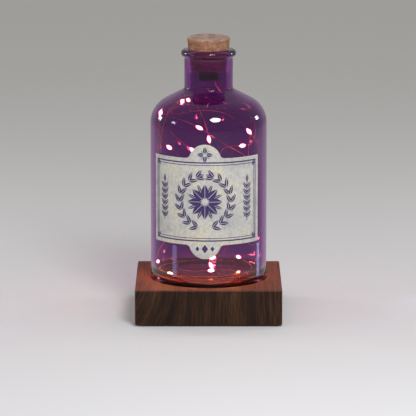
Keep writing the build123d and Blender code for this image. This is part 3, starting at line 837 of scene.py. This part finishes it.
# %% Black plastic and rubber
black_abs = new_material("abs_moulded_black", IOR=1.53)
place = add_node(black_abs, "ShaderNodeTexCoord").outputs["Object"]
satin = add_node(black_abs, "ShaderNodeTexNoise", {"Vector": place, "Scale": 5000, "Detail": 2})
smear = add_node(black_abs, "ShaderNodeTexNoise", {"Vector": place, "Scale": 260, "Detail": 2})
abs_tone = add_node(black_abs, "ShaderNodeValToRGB", {"Fac": smear},
                    stops=[(0.3, "#141216"), (0.7, "#1E1B20")])
abs_gloss = add_node(black_abs, "ShaderNodeMapRange", {"Value": smear, "To Min": 0.34, "To Max": 0.5})
abs_bump = add_node(black_abs, "ShaderNodeBump", {"Height": satin, "Strength": 0.2, "Distance": 0.02 * mm})
drive(black_abs, Base_Color=abs_tone, Roughness=abs_gloss, Normal=abs_bump)
for name in ("battery_sleeve", "battery_tray", "end_cover"):
    finish_node(name, black_abs)

epdm_rubber = new_material("epdm_rubber_moulded", IOR=1.52)
place = add_node(epdm_rubber, "ShaderNodeTexCoord").outputs["Object"]
bloom = add_node(epdm_rubber, "ShaderNodeTexNoise", {"Vector": place, "Scale": 900, "Detail": 3})
rubber_tone = add_node(epdm_rubber, "ShaderNodeValToRGB", {"Fac": bloom},
                       stops=[(0.3, "#19191A"), (0.75, "#2A2A2B")])
rubber_gloss = add_node(epdm_rubber, "ShaderNodeMapRange", {"Value": bloom, "To Min": 0.6, "To Max": 0.8})
drive(epdm_rubber, Base_Color=rubber_tone, Roughness=rubber_gloss)
finish_node("wire_grommet", epdm_rubber)

# %% [markdown]
# ### Cells and contacts
# The cells, the switch's housing and the contact strips are pressed from steel and plated with
# nickel, a little yellower on the strips. Handling leaves very fine scratches. They could be cut
# into the bump, but at this size they show only as a roughness that varies from place to place,
# here in streaks 0.2 mm wide, coarser than real ones. On the cells they run round the can,
# because it turns in the plating barrel.

# %% Nickel-plated steel
plated_steel = new_material("nickel_plated_steel_pressed", Metallic=1.0)
place = add_node(plated_steel, "ShaderNodeTexCoord").outputs["Object"]
round_place = add_node(plated_steel, "ShaderNodeMapping", {"Vector": place, "Scale": (1, 1, 9)})
scratches = add_node(plated_steel, "ShaderNodeTexNoise", {"Vector": round_place, "Scale": 700, "Detail": 4})
steel_tone = add_node(plated_steel, "ShaderNodeValToRGB", {"Fac": scratches},
                      stops=[(0.3, "#BDBBB6"), (0.7, "#D9D7D2")])
steel_gloss = add_node(plated_steel, "ShaderNodeMapRange",
                       {"Value": scratches, "To Min": 0.18, "To Max": 0.42})
drive(plated_steel, Base_Color=steel_tone, Roughness=steel_gloss)
for name in ("button_cell_1", "button_cell_2", "button_cell_3", "switch_housing"):
    finish_node(name, plated_steel)

spring_strip = new_material("spring_strip_nickel_plated", Metallic=1.0)
place = add_node(spring_strip, "ShaderNodeTexCoord").outputs["Object"]
rolling = add_node(spring_strip, "ShaderNodeMapping", {"Vector": place, "Scale": (12, 1, 1)})
lines = add_node(spring_strip, "ShaderNodeTexNoise", {"Vector": rolling, "Scale": 400, "Detail": 3})
strip_tone = add_node(spring_strip, "ShaderNodeValToRGB", {"Fac": lines},
                      stops=[(0.3, "#C2B48E"), (0.7, "#E0D5B2")])
strip_gloss = add_node(spring_strip, "ShaderNodeMapRange", {"Value": lines, "To Min": 0.2, "To Max": 0.38})
drive(spring_strip, Base_Color=strip_tone, Roughness=strip_gloss)
for name in ("positive_contact", "negative_leaf"):
    finish_node(name, spring_strip)

# %% [markdown]
# ### Circuit board, resistor and switch knob
# The board is glass-fibre laminate under green solder mask. Its copper could be modelled, but
# under the glossy lacquer it only shows as paler patches up to 1.5 mm across, and the weave below
# as a faint grid of half a millimetre. The resistor is a ceramic chip under black glaze with
# tinned ends, and the knob is white nylon, dulled in spots of about a millimetre by handling.

# %% Board, resistor and knob materials
solder_mask = new_material("fibre_board_solder_mask", Roughness=0.25)
place = add_node(solder_mask, "ShaderNodeTexCoord").outputs["Object"]
weave = add_node(solder_mask, "ShaderNodeTexChecker", {"Vector": place, "Scale": 2000})
copper = add_node(solder_mask, "ShaderNodeTexVoronoi", {"Vector": place, "Scale": 420},
                  distance="CHEBYCHEV")
bare_mask = add_node(solder_mask, "ShaderNodeMapRange",
                     {"Value": copper, "From Min": 0.3, "From Max": 0.34})
mask_tone = add_node(solder_mask, "ShaderNodeMix",
                     {"Factor": bare_mask, "A": linear("#1D6A45"), "B": linear("#134B31")},
                     data_type="RGBA")
weave_bump = add_node(solder_mask, "ShaderNodeBump",
                      {"Height": weave.outputs["Fac"], "Strength": 0.1, "Distance": 0.01 * mm})
drive(solder_mask, Base_Color=mask_tone, Normal=weave_bump)
finish_node("circuit_board", solder_mask)

end_starts = 1.15 * mm
glazed_chip = new_material("ceramic_chip_glazed", Roughness=0.4)
place = add_node(glazed_chip, "ShaderNodeTexCoord").outputs["Object"]
ends = add_node(glazed_chip, "ShaderNodeSeparateXYZ", {"Vector": place})
end_distance = add_node(glazed_chip, "ShaderNodeMath", {0: ends.outputs["X"]}, operation="ABSOLUTE")
end_mask = add_node(glazed_chip, "ShaderNodeMath", {0: end_distance, 1: end_starts},
                    operation="GREATER_THAN")
chip_tone = add_node(glazed_chip, "ShaderNodeMix",
                     {"Factor": end_mask, "A": linear("#17171A"), "B": linear("#C9C6BE")}, data_type="RGBA")
drive(glazed_chip, Base_Color=chip_tone, Metallic=end_mask)
finish_node("series_resistor", glazed_chip)

white_nylon = new_material("nylon_moulded_white", IOR=1.53)
place = add_node(white_nylon, "ShaderNodeTexCoord").outputs["Object"]
handling = add_node(white_nylon, "ShaderNodeTexNoise", {"Vector": place, "Scale": 800, "Detail": 3})
nylon_tone = add_node(white_nylon, "ShaderNodeValToRGB", {"Fac": handling},
                      stops=[(0.3, "#CFCCC4"), (0.7, "#E2E0DA")])
nylon_gloss = add_node(white_nylon, "ShaderNodeMapRange",
                       {"Value": handling, "To Min": 0.38, "To Max": 0.55})
drive(white_nylon, Base_Color=nylon_tone, Roughness=nylon_gloss)
finish_node("switch_knob", white_nylon)
finish_node("lead_stub", enamelled_copper)

# %% [markdown]
# ## Floor, lamps and background
# The part is shown on a plain pale floor in soft light. One even dome of light would do, but it
# leaves no glints. A round lamp above the front lights the label, the cork and the top of the
# block, and draws the bright oval on the shoulder. Small ones behind on both sides and at the
# left front give the other glints on the shoulder. Two low strips, which show only in
# reflections, draw the upright streaks near the foot. The background lights the part softly from
# all sides. What the camera, the reflections and the glass see of it is a little dimmer, so that
# it is level with the far edge of the floor.

# %% The floor
pale_paper = new_material("studio_paper_matt", Base_Color=linear("#D2D0CD"), Roughness=0.9)
ground = bmesh.new()
bmesh.ops.create_grid(ground, x_segments=1, y_segments=1, size=6)
floor_mesh = bpy.data.meshes.new("studio_floor")
ground.to_mesh(floor_mesh)
ground.free()
floor_mesh.materials.append(pale_paper)
floor = bpy.data.objects.new("studio_floor", floor_mesh)
bpy.context.scene.collection.objects.link(floor)

# %% The lamps


def soft_lamp(name, place, target, width, height, power, shape="RECTANGLE", colour="#F1F4FF"):
    """A soft lamp that points at the target. It shows in reflections, but not by itself."""
    data = bpy.data.lights.new(name, "AREA")
    data.shape = shape
    data.size = width
    data.size_y = height
    data.energy = power
    data.color = linear(colour)[:3]
    lamp = bpy.data.objects.new(name, data)
    bpy.context.scene.collection.objects.link(lamp)
    lamp.visible_camera = False
    lamp.visible_transmission = False
    lamp.location = place
    lamp.rotation_euler = (Vector(target) - Vector(place)).to_track_quat("-Z", "Y").to_euler()
    print(name, "gives", power, "W")
    return lamp


shoulder = (0, 0, 0.17)
soft_lamp("front_top", (0.225, -0.811, 0.783), shoulder, width=0.36, height=0.34, power=8.5, shape="ELLIPSE")
soft_lamp("left_rear", (-0.914, 0.416, 0.378), shoulder, width=0.17, height=0.14, power=1.6)
soft_lamp("right_rear", (0.917, 0.408, 0.383), shoulder, width=0.17, height=0.14, power=1.6)
soft_lamp("left_front", (-0.97, -0.29, 0.4), shoulder, width=0.17, height=0.1, power=0.8)

# %% Two low strips for the streaks near the foot
lower_wall = (0, 0, 0.05)
strips = [("left_strip", (-0.187, -0.093, 0.017), 0.034), ("right_strip", (0.192, 0.046, 0.017), 0.03)]
for name, place, width in strips:
    strip = soft_lamp(name, place, lower_wall, width, height=0.03, power=0.011, colour="#AEBBFF")
    strip.visible_diffuse = False

# %% The background
strength_given = 0.55
strength_seen = 0.44
world = bpy.data.worlds.new("pale_studio")
bpy.context.scene.world = world
world.use_nodes = True
rays = add_node(world, "ShaderNodeLightPath")
seen = add_node(world, "ShaderNodeMath",
                {0: rays.outputs["Is Camera Ray"], 1: rays.outputs["Is Glossy Ray"]}, operation="MAXIMUM")
shown = add_node(world, "ShaderNodeMath", {0: seen, 1: rays.outputs["Is Transmission Ray"]},
                 operation="MAXIMUM")
strength = add_node(world, "ShaderNodeMapRange",
                    {"Value": shown, "To Min": strength_given, "To Max": strength_seen})
background = world.node_tree.nodes["Background"]
background.inputs["Color"].default_value = linear("#F6F5F3")
plug(world, strength, background.inputs["Strength"])
bpy.context.scene.view_settings.view_transform = "Standard"
print("background strength:", strength_given, "and as seen:", strength_seen)
